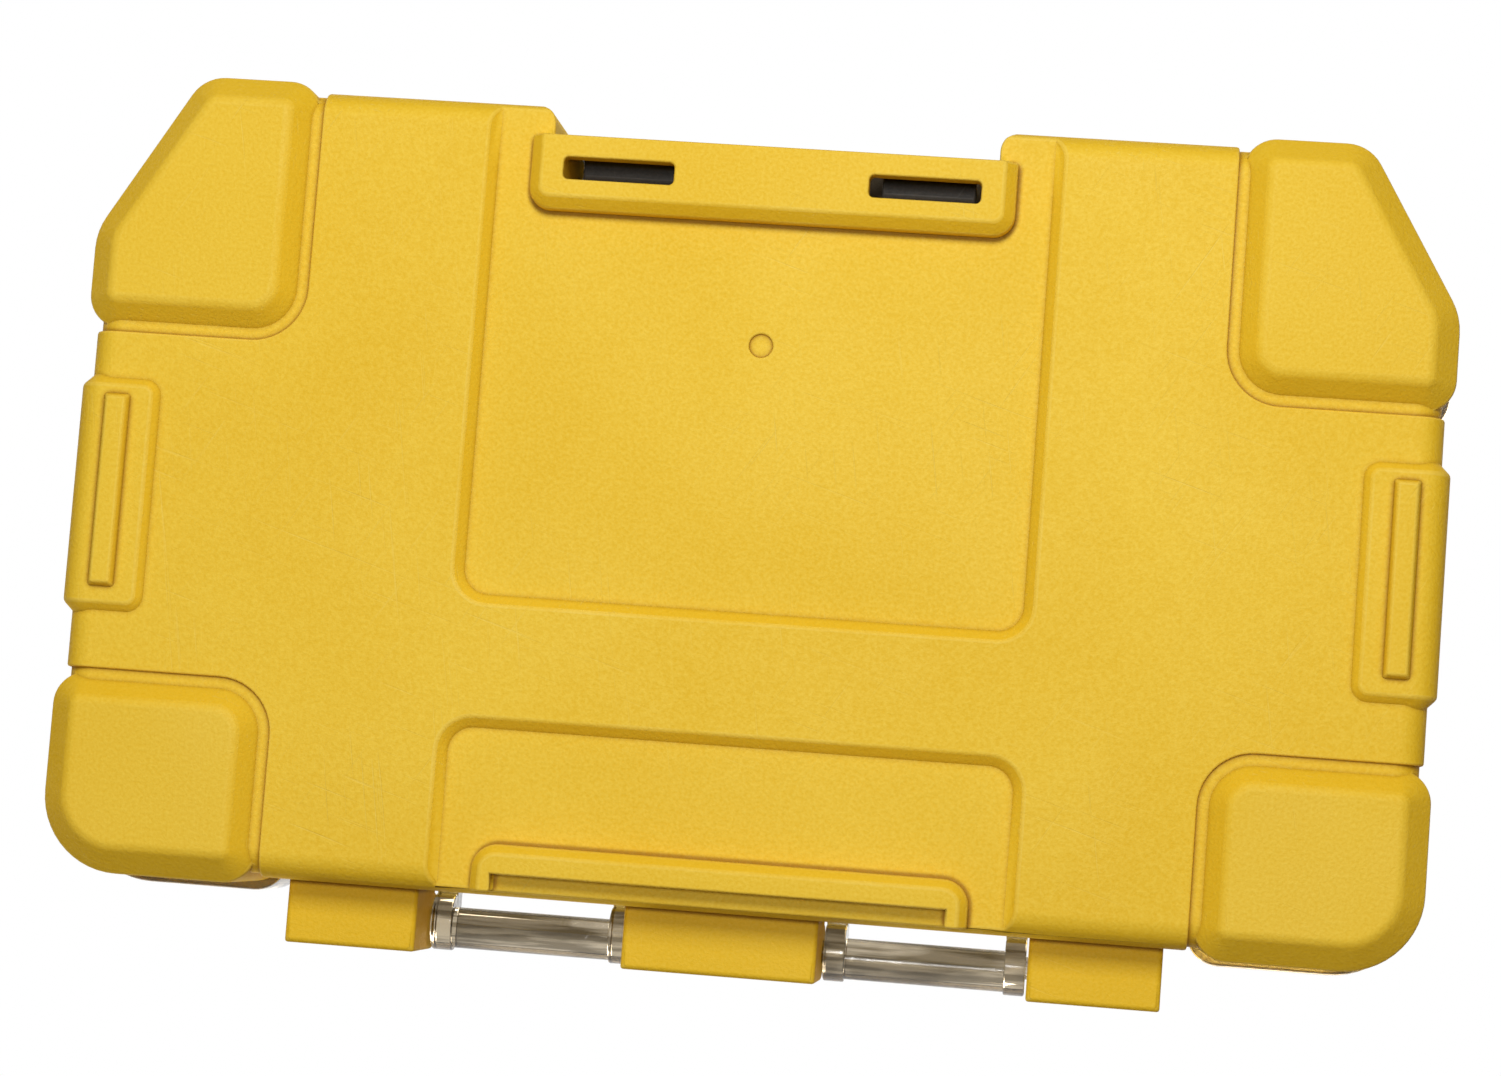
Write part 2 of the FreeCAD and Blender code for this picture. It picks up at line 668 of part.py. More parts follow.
def rib_pair(name, cell, near, far):
    """Two ribs that hold the end of a cross divider."""
    centre = f"cell_pitch * {cell}"
    sides = (
        ("low", f"{centre} - rib_offset - rib_size", f"{centre} - rib_offset"),
        ("high", f"{centre} + rib_offset", f"{centre} + rib_offset + rib_size"),
    )
    return [box(f"{name}_{side}", (start, end), (near, far), ("floor_level - root", "divider_top"))
            for side, start, end in sides]


def base_ribs():
    ribs = []
    for number, cell in enumerate(FRONT_CELLS, start=1):
        wall_face = front_wall_at(cell)
        ribs += rib_pair(f"front_rib_{number}", cell, f"{wall_face} - root", f"{wall_face} + rib_size")
    for number, cell in enumerate(REAR_CELLS, start=1):
        ribs += rib_pair(f"rear_rib_{number}", cell, "inner_rear - rib_size", "inner_rear + root")
    across = ("inner_half - rib_size", "inner_half + root")
    upright = ("floor_level - root", "divider_top")
    ahead = "long_front - divider_clearance"
    behind = "long_rear + divider_clearance"
    ribs += both_sides(box("side_rib_ahead", across, (f"{ahead} - rib_size", ahead), upright))
    ribs += both_sides(box("side_rib_behind", across, (behind, f"{behind} + rib_size"), upright))
    return ribs


def base_shell():
    core_face = "face_step + band_drop"
    levels = ("face_step", "base_height")
    block = framed_block("base", levels, (core_face, "base_height"), "face_step", core_face, rounded)
    front_end = "main_front + front_recess_depth"
    front_start = "main_front - recess_drop - cut_over"
    front_recess = recess("front_recess", "front_recess_width", front_start, front_end, front_end)
    rear_start = "main_rear - rear_recess_depth"
    rear_end = "main_rear + recess_drop + cut_over"
    rear_recess = recess("rear_recess", "rear_recess_width", rear_start, rear_end, rear_start)
    pressed = cut("base_pressed", block, [front_recess, rear_recess])
    raised = bumpers("base", "rim_step", "0", "base_height", "0") + side_pads()
    solid = fuse("base_solid", [pressed, latch_plate(), hood()] + raised + knuckles())
    above = "base_height + cut_over"
    openings = [hollow("base", "floor_level", above), gate_mark()]
    openings += alcove("base", "flange_wall", above, "-cut_over") + latch_slots() + hood_cuts() + stub_bores()
    opened = cut("base_opened", solid, openings)
    return fuse("base_shell", [opened] + catches() + base_ribs())


# Clear lid


def lid_panel():
    """A cutter for the shallow panel in the lid's top."""
    body = new_body("lid_panel")
    middle = "(main_front + main_rear) / 2"
    ahead = f"{middle} - lid_panel_depth / 2"
    behind = f"{middle} + lid_panel_depth / 2"
    right = [("lid_panel_length / 2", ahead), ("lid_panel_length / 2", behind)]
    corners = right + mirrored(right)
    level = "lid_top - face_step - lid_panel_drop"
    pad(body, "lid_panel_block", "XY_Plane", level, "lid_top", corners)
    round_edges(body, "lid_panel_corners", "recess_radius", upright_at(*corners))
    bevel_edges(body, "lid_panel_slope", "lid_panel_drop", lying_at(level))
    return body


def hinge_barrel():
    """A lid barrel with a ring and a pivot stub at each end, and the two arms that carry it."""
    first_ring = ("barrel_start", "barrel_start + barrel_ring_length")
    last_ring = ("barrel_end - barrel_ring_length", "barrel_end")
    behind_axis = ("axis_y + barrel_rod_offset", "axis_z")
    pieces = [
        rod("barrel_rod", ("barrel_start", "barrel_end"), behind_axis, "barrel_rod_radius"),
        rod("barrel_stubs", ("barrel_start - stub_length", "barrel_end + stub_length"), HINGE, "stub_radius"),
    ]
    for name, across in (("first", first_ring), ("last", last_ring)):
        pieces.append(rod(name + "_ring", across, HINGE, "barrel_ring_radius"))
        arm_rise = ("lid_low", "axis_z + barrel_ring_radius")
        pieces.append(box(name + "_arm", across, ("main_rear - root", "axis_y"), arm_rise))
    return both_sides(fuse("hinge_barrel", pieces))


def trunnion_bores():
    across = ("alcove_half - root", "latch_half + trunnion_length + end_clearance")
    return both_sides(rod("trunnion_bore", across, PIVOT, "trunnion_radius + fit_clearance"))


def clear_lid():
    face = "lid_top - face_step"
    core_face = f"{face} - band_drop"
    block = framed_block("lid", ("lid_low", face), ("lid_low", core_face), face, core_face, bevelled)
    pressed = cut("lid_pressed", block, [lid_panel()])
    solid = fuse("lid_solid", [pressed] + bumpers("lid", "0", "lid_low", "lid_top", "lid_top"))
    below = "base_height - cut_over"
    openings = [hollow("lid", below, f"{face} - lid_roof")]
    openings += alcove("lid", below, "lid_top + cut_over", below) + trunnion_bores()
    opened = cut("lid_opened", solid, openings)
    return fuse("clear_lid", [opened] + hinge_barrel())


# Latch


def latch():
    """A bowed flap that hangs from its barrel, with two hooks, grip ribs and a trunnion at each end."""
    body = new_body("latch_flap")
    start = "-latch_half"
    belly = "latch_front - latch_belly"
    outer = [("latch_front", "latch_foot"), (belly, "latch_belly_level"), (belly, "latch_shoulder_level")]
    top = [("pivot_y - latch_barrel_radius", "pivot_z"), ("pivot_y", "pivot_z")]
    inner = [(f"{y} + latch_wall", z) for y, z in reversed(outer)]
    pad(body, "latch_flap_block", "YZ_Plane", start, "latch_half", outer + top + inner)
    barrel = rod("latch_barrel", (start, "latch_half"), PIVOT, "latch_barrel_radius")
    past_end = "latch_half + trunnion_length"
    trunnions = rod("latch_trunnions", (f"-({past_end})", past_end), PIVOT, "trunnion_radius")
    hook = new_body("latch_hook")
    hook_low = "hook_top - hook_height"
    behind_flap = "latch_front + root"
    nose = [("hook_tip - hook_bite", hook_low), ("hook_tip", "hook_top - hook_height / 2")]
    nose.append(("hook_tip", "hook_top"))
    profile = [(behind_flap, hook_low)] + nose + [(behind_flap, "hook_top")]
    hook_start = "slot_inner + hook_side_gap"
    hook_end = "slot_outer - hook_side_gap"
    pad(hook, "latch_hook_block", "YZ_Plane", hook_start, hook_end, profile)
    grips = []
    across = ("-grip_length / 2", "grip_length / 2")
    for number in range(round(value("grip_count"))):
        low = f"latch_belly_level + grip_height * {2 * number + 1}"
        reach = (f"{belly} - grip_height / 2", f"{belly} + root")
        grips.append(box(f"latch_grip_{number + 1}", across, reach, (low, f"{low} + grip_height")))
    return fuse("latch", [body, barrel, trunnions] + both_sides(hook) + grips)


# Dividers


def long_divider():
    """The wall between the two rows, with a pair of ribs for each cross divider."""
    end = "inner_half - divider_clearance"
    across = (f"-({end})", end)
    plate = box("long_plate", across, ("long_front", "long_rear"), ("floor_level", "divider_top"))
    ribs = []
    for number, cell in enumerate(FRONT_CELLS, start=1):
        ribs += rib_pair(f"long_front_rib_{number}", cell, "long_front - rib_size", "long_front + root")
    for number, cell in enumerate(REAR_CELLS, start=1):
        ribs += rib_pair(f"long_rear_rib_{number}", cell, "long_rear - root", "long_rear + rib_size")
    whole = fuse("long_ribbed", [plate] + ribs)
    below = ("floor_level - cut_over", "floor_level")
    rib_feet = box("long_rib_feet", across, ("long_front - cell_pitch", "long_rear + cell_pitch"), below)
    return cut("long_divider", whole, [rib_feet])


def cross_divider(name, cell, near, far):
    """A flat plate with cut top corners, standing on the floor between two rib pairs."""
    body = new_body(name)
    ahead = f"{near} + divider_clearance"
    behind = f"{far} - divider_clearance"
    shoulder = "divider_top - divider_corner"
    corners = [(ahead, "floor_level"), (behind, "floor_level"), (behind, shoulder)]
    corners += [(f"{behind} - divider_corner", "divider_top"), (f"{ahead} + divider_corner", "divider_top")]
    corners += [(ahead, shoulder)]
    centre = f"cell_pitch * {cell}"
    sides = (f"{centre} - divider_wall / 2", f"{centre} + divider_wall / 2")
    pad(body, name + "_plate", "YZ_Plane", *sides, corners)
    return body


def dividers():
    pieces = [long_divider()]
    for number, cell in enumerate(FRONT_CELLS, start=1):
        pieces.append(cross_divider(f"front_divider_{number}", cell, front_wall_at(cell), "long_front"))
    for number, cell in enumerate(REAR_CELLS, start=1):
        pieces.append(cross_divider(f"rear_divider_{number}", cell, "long_rear", "inner_rear"))
    return pieces


# Build, test and write every piece
pieces = [base_shell(), clear_lid(), latch()] + dividers()
doc.recompute()
for thing in doc.Objects:
    if "Invalid" in thing.State or "Error" in thing.State:
        raise RuntimeError(f"{thing.Name} failed: {thing.State}")
for piece in pieces:
    shape = piece.Shape
    if shape.isNull() or not shape.isValid():
        raise RuntimeError(f"{piece.Label} has no valid shape")
    if len(shape.Solids) != 1:
        raise RuntimeError(f"{piece.Label} is {len(shape.Solids)} solids")

os.makedirs("parts", exist_ok=True)
for piece in pieces:
    piece.Shape.exportStep(f"parts/{piece.Label}.step")
    bounds = piece.Shape.BoundBox
    print(f"{piece.Label}: {piece.Shape.Volume:.0f} mm3, {len(piece.Shape.Faces)} faces,",
          f"{bounds.XLength:.1f} x {bounds.YLength:.1f} x {bounds.ZLength:.1f} mm")
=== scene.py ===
# %% [markdown]
# # A latching organizer box, photographed from below
#
# The box lies on its feet, and the photograph looks at its underside. The solids of the box are loaded
# first. They already have their places in metres, so nothing has to be fitted by eye.

# %% Load the solids
import json
import math

import bmesh
import bpy
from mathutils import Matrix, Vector


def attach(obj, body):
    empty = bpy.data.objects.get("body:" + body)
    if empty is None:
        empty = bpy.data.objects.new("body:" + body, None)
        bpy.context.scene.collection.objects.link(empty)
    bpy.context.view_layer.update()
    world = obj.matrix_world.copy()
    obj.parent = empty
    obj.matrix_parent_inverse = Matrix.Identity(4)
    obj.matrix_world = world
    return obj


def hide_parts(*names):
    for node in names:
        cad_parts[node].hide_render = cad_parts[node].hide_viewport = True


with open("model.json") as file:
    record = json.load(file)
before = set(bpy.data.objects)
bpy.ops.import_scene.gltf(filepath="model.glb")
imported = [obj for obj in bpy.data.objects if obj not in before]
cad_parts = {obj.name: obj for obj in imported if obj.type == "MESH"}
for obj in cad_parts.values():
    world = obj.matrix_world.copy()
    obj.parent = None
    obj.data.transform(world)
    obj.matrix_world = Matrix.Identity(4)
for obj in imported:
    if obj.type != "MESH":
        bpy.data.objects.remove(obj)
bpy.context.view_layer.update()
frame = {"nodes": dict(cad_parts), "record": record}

nodes = frame["nodes"]
MM = 0.001


# %% [markdown]
# ## Joining flat areas
#
# A solid comes as loose triangles. On the real box every edge is slightly round, because the mould is, and
# that thin round catches the light. A bevel makes it, but a bevel on loose triangles tears and on thin
# slivers it makes spikes. So a copy is merged first, and triangles that lie in one plane are joined into
# one face. A face with a hole in it can't be one face, so a few cuts, most of them through the holes, are
# made before. They are marked as seams, which the joining leaves alone.

# %% A copy with one face for each flat area
X_CUT, Y_CUT, Z_CUT = (1, 0, 0), (0, 1, 0), (0, 0, 1)
SAME_POINT = 0.001 * MM
SAME_PLANE = math.radians(0.5)


def select_only(piece):
    bpy.ops.object.select_all(action="DESELECT")
    piece.select_set(True)
    bpy.context.view_layer.objects.active = piece


def flat_copy(node, cuts):
    piece = nodes[node].copy()
    piece.data = nodes[node].data.copy()
    piece.name = "moulded_" + node
    piece.data.attributes.new("edge", "FLOAT", "FACE")
    bpy.context.collection.objects.link(piece)
    select_only(piece)
    bpy.ops.mesh.customdata_custom_splitnormals_clear()
    bpy.ops.object.mode_set(mode="EDIT")
    bpy.ops.mesh.select_mode(type="EDGE")
    bpy.ops.mesh.select_all(action="SELECT")
    bpy.ops.mesh.remove_doubles(threshold=SAME_POINT)
    for place, normal in cuts:
        bpy.ops.mesh.select_all(action="SELECT")
        bpy.ops.mesh.bisect(plane_co=Vector(normal) * place * MM, plane_no=normal)
        bpy.ops.mesh.mark_seam(clear=False)
    bpy.ops.mesh.select_all(action="SELECT")
    bpy.ops.mesh.dissolve_limited(angle_limit=SAME_PLANE, delimit={"SEAM"})
    bpy.ops.object.mode_set(mode="OBJECT")
    print(piece.name, "has", len(piece.data.polygons), "faces")
    return piece


# %% [markdown]
# ## Rounding the outer edges
#
# Only edges that stick out are rounded. Where two walls meet in an inner corner, the line is marked sharp
# and stays: in the photograph it is the dark line at the foot of each bumper. A bevel alone would tilt the
# shading of the large faces beside it, so at the end the Weighted Normal modifier lets the large face at
# each corner set the normal.
#
# Edges are also what hands and tables rub first, and a thin round catches a highlight. So the faces that a
# bevel makes are marked in an attribute called edge, and the materials use it to show the wear and a
# painted highlight as a paler colour. A wide round spreads the rubbing, so it is marked more weakly.

# %% Bevel the sharp edges that stick out
SHARP = math.radians(28)


def soften(piece, width, segments, wear_and_highlight, where=None):
    select_only(piece)
    bpy.ops.object.mode_set(mode="EDIT")
    bpy.ops.mesh.select_all(action="DESELECT")
    shape = bmesh.from_edit_mesh(piece.data)
    rounded = 0
    for edge in shape.edges:
        if edge.calc_face_angle(0) > SHARP and (where is None or where(edge)):
            edge.smooth = edge.is_convex
            edge.select_set(edge.is_convex)
            rounded += edge.is_convex
    bmesh.update_edit_mesh(piece.data)
    bpy.ops.mesh.bevel(offset=width * MM, segments=segments, affect="EDGES",
                       clamp_overlap=False, miter_outer="ARC")
    shape = bmesh.from_edit_mesh(piece.data)
    edge_mark = shape.faces.layers.float["edge"]
    for face in shape.faces:
        if face.select:
            face[edge_mark] = wear_and_highlight
    bmesh.update_edit_mesh(piece.data)
    bpy.ops.object.mode_set(mode="OBJECT")
    print(piece.name, "has", rounded, "edges rounded by", width, "mm")


# %% Keep large faces flat in the shading
def flatten_shading(piece):
    select_only(piece)
    bpy.ops.object.shade_smooth(keep_sharp_edges=True)
    bpy.ops.object.modifier_add(type="WEIGHTED_NORMAL")
    weighted = piece.modifiers[-1]
    weighted.keep_sharp = True
    weighted.weight = 100
    bpy.ops.object.modifier_apply(modifier=weighted.name)


# %% [markdown]
# ## The moulded pieces
#
# Every piece gets this treatment with the edge radius of its own mould. The faces of the corner bumpers
# have the softest edges in the photograph, so they are rounded before the rest and more than it. The clear
# lid is crisper, because a polished mould keeps its edges. Each copy stands for its solid and moves with
# the same body.

# %% Where the bumper faces are, in millimetres
BUMPER_INNER, BUMPER_FRONT, BUMPER_REAR = 65.3, -24.0, 26.4
BUMPER_LEVELS = {"base_shell": 0.0, "clear_lid": 40.0}
LEVEL_SLACK = 0.01


def at_a_corner(point):
    return abs(point.x) > BUMPER_INNER and not BUMPER_FRONT < point.y < BUMPER_REAR


def on_bumper(level):
    def chosen(edge):
        ends = [vert.co / MM for vert in edge.verts]
        return all(at_a_corner(end) and abs(end.z - level) < LEVEL_SLACK for end in ends)

    return chosen


# %% Where each piece is cut and how round its edges are, in millimetres
SLOT_LINE, HINGE_LINE, LATCH_LINE = -48.85, 56.65, -51.1
TRAY_LEVEL, LATCH_LEVEL = 11.1, 8.25
MIDDLE = 0
CUTS = {
    "base_shell": [(MIDDLE, X_CUT), (MIDDLE, Y_CUT), (SLOT_LINE, Y_CUT), (HINGE_LINE, Y_CUT),
                   (TRAY_LEVEL, Z_CUT)],
    "clear_lid": [(MIDDLE, X_CUT), (LATCH_LINE, Y_CUT), (HINGE_LINE, Y_CUT)],
    "latch": [(MIDDLE, X_CUT), (LATCH_LINE, Y_CUT), (LATCH_LEVEL, Z_CUT)],
}
BUMPER_RADIUS = {"base_shell": 0.85, "clear_lid": 0.5}
# Edge marks show as wear and as a painted highlight.
BUMPER_SEGMENTS, BUMPER_WEAR_AND_HIGHLIGHT = 3, 0.35
EDGE_RADIUS = {"base_shell": 0.35, "clear_lid": 0.25, "latch": 0.35}
DIVIDER_RADIUS = 0.25
EDGE_SEGMENTS, EDGE_WEAR_AND_HIGHLIGHT = 2, 1.0

# %% Make the copies
bodies = frame["record"]["behaviour"]["bodies"]
BODY = {node: body for body, members in bodies.items() for node in members}
SLOT = {part["node"]: part["material_slot"] for part in frame["record"]["subparts"]}
moulded = {}
for node in nodes:
    moulded[node] = flat_copy(node, CUTS.get(node, []))
    if node in BUMPER_RADIUS:
        face_edges = on_bumper(BUMPER_LEVELS[node])
        soften(moulded[node], BUMPER_RADIUS[node], BUMPER_SEGMENTS, BUMPER_WEAR_AND_HIGHLIGHT, face_edges)
    soften(moulded[node], EDGE_RADIUS.get(node, DIVIDER_RADIUS), EDGE_SEGMENTS, EDGE_WEAR_AND_HIGHLIGHT)
    flatten_shading(moulded[node])
    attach(moulded[node], BODY[node])
    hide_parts(node)

# %% [markdown]
# ## Zones
#
# The lid is one moulding, but its mould isn't polished everywhere. The tops of its corner bumpers are
# frosted, and the hinge barrels are thick and get dark and light streaks as painted reflections. On the
# tray, the slopes, the walls and the hinge knuckles, which are set back from the rest, get a deeper yellow
# as painted shade, and the faces that lie flat keep the paler yellow. An attribute for each zone tells the
# material where it is.

# %% Mark the frosted bumpers, the barrels, and the slopes and knuckles with painted shade
def mark_zone(piece, zone, inside):
    marks = piece.data.attributes.new(zone, "FLOAT", "FACE")
    for face in piece.data.polygons:
        marks.data[face.index].value = inside(face.center / MM, face.normal)
    print(zone, "faces:", sum(mark.value > 0 for mark in marks.data))


FROSTED_FROM, FACING_UP = 36, 0.3
HINGE_FROM = 53.2
LIES_FLAT, SLOPE_SPAN = 0.98, 0.2


def on_lid_bumper(centre, normal):
    return at_a_corner(centre) and centre.z > FROSTED_FROM and normal.z > FACING_UP


def in_hinge(centre, normal):
    return centre.y > HINGE_FROM


# Painted shade: the set-back hinge knuckles fully, slopes and walls more the steeper they are.
def off_the_flat(centre, normal):
    return in_hinge(centre, normal) or min(max((LIES_FLAT - abs(normal.z)) / SLOPE_SPAN, 0), 1)


mark_zone(moulded["base_shell"], "off_flat_shade", off_the_flat)
mark_zone(moulded["clear_lid"], "frosted", on_lid_bumper)
mark_zone(moulded["clear_lid"], "barrel", in_hinge)

# %% [markdown]
# ## Helpers for materials
#
# Every finish below is a node tree, and a few helpers keep that short. One adds a node with its settings,
# one opens a new material and hands back its tree and its main shader, and one opens a group. Colours are
# written as they look on a screen and turned into the linear numbers that the renderer works with.

# %% Small helpers for node trees
def screen_colour(code):
    channels = [int(code[start:start + 2], 16) / 255 for start in (0, 2, 4)]
    linear = [c / 12.92 if c <= 0.04045 else ((c + 0.055) / 1.055) ** 2.4 for c in channels]
    return (*linear, 1)


def add_node(tree, kind, inputs=None, **settings):
    node = tree.nodes.new(kind)
    for name, setting in settings.items():
        setattr(node, name, setting)
    for name, source in (inputs or {}).items():
        socket = node.inputs[name]
        if isinstance(source, bpy.types.NodeSocket):
            tree.links.new(source, socket)
        else:
            socket.default_value = source
    return node


def new_material(name):
    material = bpy.data.materials.new(name)
    material.use_nodes = True
    return material, material.node_tree, material.node_tree.nodes["Principled BSDF"]


def new_group(name, inputs, outputs):
    tree = bpy.data.node_groups.new(name, "ShaderNodeTree")
    for label, default in inputs.items():
        socket = tree.interface.new_socket(label, in_out="INPUT", socket_type="NodeSocketFloat")
        socket.default_value = default
    for label in outputs:
        tree.interface.new_socket(label, in_out="OUTPUT", socket_type="NodeSocketFloat")
    return tree, tree.nodes.new("NodeGroupInput").outputs, tree.nodes.new("NodeGroupOutput").inputs


# %% Short ways to combine values and colours
def combine(tree, operation, first, second):
    return add_node(tree, "ShaderNodeMath", {0: first, 1: second}, operation=operation).outputs[0]


def share(tree, source, part, rest=0.0):
    inputs = {0: source, 1: part, 2: rest}
    return add_node(tree, "ShaderNodeMath", inputs, operation="MULTIPLY_ADD").outputs[0]


def spread(tree, source, low, high, least=0.0, most=1.0):
    inputs = {"Value": source, "From Min": low, "From Max": high, "To Min": least, "To Max": most}
    return add_node(tree, "ShaderNodeMapRange", inputs).outputs["Result"]


def blend(tree, factor, first, second):
    mix = add_node(tree, "ShaderNodeMix", {"Factor": factor}, data_type="RGBA")
    for label, source in (("A", first), ("B", second)):
        if isinstance(source, str):
            mix.inputs[label].default_value = screen_colour(source)
        else:
            tree.links.new(source, mix.inputs[label])
    return mix.outputs["Result"]


def zone_mask(tree, zone):
    return add_node(tree, "ShaderNodeAttribute", attribute_name=zone).outputs["Fac"]


def own_place(tree):
    return add_node(tree, "ShaderNodeTexCoord").outputs["Object"]


# %% [markdown]
# ## Moulded grain
#
# The mould of a tool case is spark eroded, so the plastic comes out with a fine grain, and close up the
# photograph shows it as a speckle of about half a millimetre. Over centimetres the tone drifts a little,
# where the plastic flowed and cooled. One group makes both, and each plastic takes as much of it as it
# needs.

# %% The grain as a node group
NOISE_RANGE = (0.3, 0.7)
grain_group, grain_in, grain_out = new_group(
    "moulded_grain", {"Grain per metre": 3000.0, "Drift per metre": 25.0}, ("Height", "Speckle", "Drift"))
place = own_place(grain_group)
fine = add_node(grain_group, "ShaderNodeTexNoise",
                {"Vector": place, "Scale": grain_in["Grain per metre"], "Detail": 2.0, "Roughness": 0.6})
coarse = add_node(grain_group, "ShaderNodeTexNoise",
                  {"Vector": place, "Scale": grain_in["Drift per metre"], "Detail": 3.0, "Roughness": 0.5})
grain_group.links.new(fine.outputs["Fac"], grain_out["Height"])
grain_group.links.new(spread(grain_group, fine.outputs["Fac"], *NOISE_RANGE), grain_out["Speckle"])
grain_group.links.new(spread(grain_group, coarse.outputs["Fac"], *NOISE_RANGE), grain_out["Drift"])
print("grain group:", [socket.name for socket in grain_group.interface.items_tree])

# %% [markdown]
# ## Marks of use and edge highlights
#
# A box like this slides in and out of a bag and over benches, which leaves hairlines in a few directions
# and patches that are rubbed smoother than the rest. Noise that is stretched fifty times along one
# direction gives the hairlines, and a coarse noise gathers them into patches. The rounded edges are paler
# too, partly rubbed and partly a painted highlight, and not evenly.

# %% The marks as a node group
HAIRLINE_TURNS = (17, -58, 81)
HAIRLINE_STRETCH = (50, 1, 1)
HAIRLINE_RANGE = (0.68, 0.76)
PATCH_RANGE = (0.42, 0.66)
LEAST_EDGE_WEAR_AND_HIGHLIGHT = 0.35
marks_group, marks_in, marks_out = new_group(
    "marks_of_use_and_edge_highlight", {"Hairlines per metre": 3000.0}, ("Hairlines", "Rubbed", "Edge"))
place = own_place(marks_group)
patches = add_node(marks_group, "ShaderNodeTexNoise", {"Vector": place, "Scale": 45.0, "Detail": 4.0})
rubbed = spread(marks_group, patches.outputs["Fac"], *PATCH_RANGE)
hairlines = 0.0
for turn in HAIRLINE_TURNS:
    laid = add_node(marks_group, "ShaderNodeMapping",
                    {"Vector": place, "Rotation": (0, 0, math.radians(turn)), "Scale": HAIRLINE_STRETCH},
                    vector_type="TEXTURE")
    strands = add_node(marks_group, "ShaderNodeTexNoise",
                       {"Vector": laid.outputs[0], "Scale": marks_in["Hairlines per metre"], "Detail": 1.0})
    thin = spread(marks_group, strands.outputs["Fac"], *HAIRLINE_RANGE)
    hairlines = combine(marks_group, "MAXIMUM", thin, hairlines)
uneven = spread(marks_group, rubbed, 0.0, 1.0, least=LEAST_EDGE_WEAR_AND_HIGHLIGHT)
# Edges, unevenly: partly wear and partly a painted highlight.
worn_and_highlit_edge = combine(marks_group, "MULTIPLY", zone_mask(marks_group, "edge"), uneven)
marks_group.links.new(combine(marks_group, "MULTIPLY", hairlines, rubbed), marks_out["Hairlines"])
marks_group.links.new(rubbed, marks_out["Rubbed"])
marks_group.links.new(worn_and_highlit_edge, marks_out["Edge"])
print("marks group:", [socket.name for socket in marks_group.interface.items_tree])

# %% [markdown]
# ## Coloured plastic with grain
#
# The tray, the latch and the dividers are the same kind of thing in other colours: a matt plastic whose
# tone drifts and whose grain breaks up the gloss. Where it is worn it is paler, and along rounded edges the
# paler colour is also a painted highlight. Where it is rubbed it shines more. Slopes and set-back parts
# that are marked for it turn deeper in colour as painted shade. In inner corners a painted shade darkens
# the colour and draws the thin dark lines round the bumpers. Such corners are found by how much of its
# surroundings a point sees within a millimetre. One function for the colour and one for the rest build
# the material, so the three stay alike.

# %% The colour of a matt plastic
DRIFT_SHARE, SPECKLE_SHARE = 0.4, 0.6
# How far the marked slopes and knuckles turn towards their painted shade colour.
OFF_FLAT_SHADE_SHARE = 0.42
# Painted shade in inner corners: how far a point looks around, and how dark the corner gets.
CORNER_SHADE_REACH = 0.9 * MM
OPEN_CORNER, TIGHT_CORNER, MOST_CORNER_SHADE = 0.95, 0.74, 0.75


def plastic_colour(tree, grain, marks, colours, wear_and_highlight):
    dark, light, off_flat_shade, worn_and_highlit, corner_shade_colour = colours
    tone = share(tree, grain["Drift"], DRIFT_SHARE, share(tree, grain["Speckle"], SPECKLE_SHARE))
    colour = blend(tree, tone, dark, light)
    # Painted shade on slopes, walls and knuckles.
    colour = blend(tree, share(tree, zone_mask(tree, "off_flat_shade"), OFF_FLAT_SHADE_SHARE), colour, off_flat_shade)
    worn_and_highlit_parts = combine(tree, "MAXIMUM", marks["Edge"], marks["Hairlines"])
    # Worn parts turn paler; on edges the paler colour is also a painted highlight.
    colour = blend(tree, share(tree, worn_and_highlit_parts, wear_and_highlight), colour, worn_and_highlit)
    # Painted shade: corners that see little of their surroundings darken towards the shade colour.
    seen = add_node(tree, "ShaderNodeAmbientOcclusion", {"Distance": CORNER_SHADE_REACH},
                    samples=8, only_local=True)
    corner_shade = spread(tree, seen.outputs["AO"], OPEN_CORNER, TIGHT_CORNER, most=MOST_CORNER_SHADE)
    return blend(tree, corner_shade, colour, corner_shade_colour)


# %% The whole matt plastic
SPECKLE_GLOSS, RUBBED_GLOSS, GLOSS_ROOM = -0.14, -0.06, 0.1
HAIRLINE_DEPTH = -0.4
SHINE = 0.15


def grained_plastic(name, colours, roughness, grain_depth, grain_scale, wear_and_highlight):
    material, tree, shader = new_material(name)
    grain_node = add_node(tree, "ShaderNodeGroup", node_tree=grain_group)
    grain_node.inputs["Grain per metre"].default_value = grain_scale
    grain = grain_node.outputs
    marks = add_node(tree, "ShaderNodeGroup", node_tree=marks_group).outputs
    rubbed_gloss = share(tree, marks["Rubbed"], RUBBED_GLOSS, roughness + GLOSS_ROOM)
    gloss = share(tree, grain["Speckle"], SPECKLE_GLOSS, rubbed_gloss)
    height = share(tree, marks["Hairlines"], HAIRLINE_DEPTH, grain["Height"])
    bump = add_node(tree, "ShaderNodeBump",
                    {"Height": height, "Strength": 1.0, "Distance": grain_depth * MM})
    tree.links.new(plastic_colour(tree, grain, marks, colours, wear_and_highlight), shader.inputs["Base Color"])
    tree.links.new(gloss, shader.inputs["Roughness"])
    tree.links.new(bump.outputs["Normal"], shader.inputs["Normal"])
    shader.inputs["Specular IOR Level"].default_value = SHINE
    print(name, "has", len(tree.nodes), "nodes")
    return material


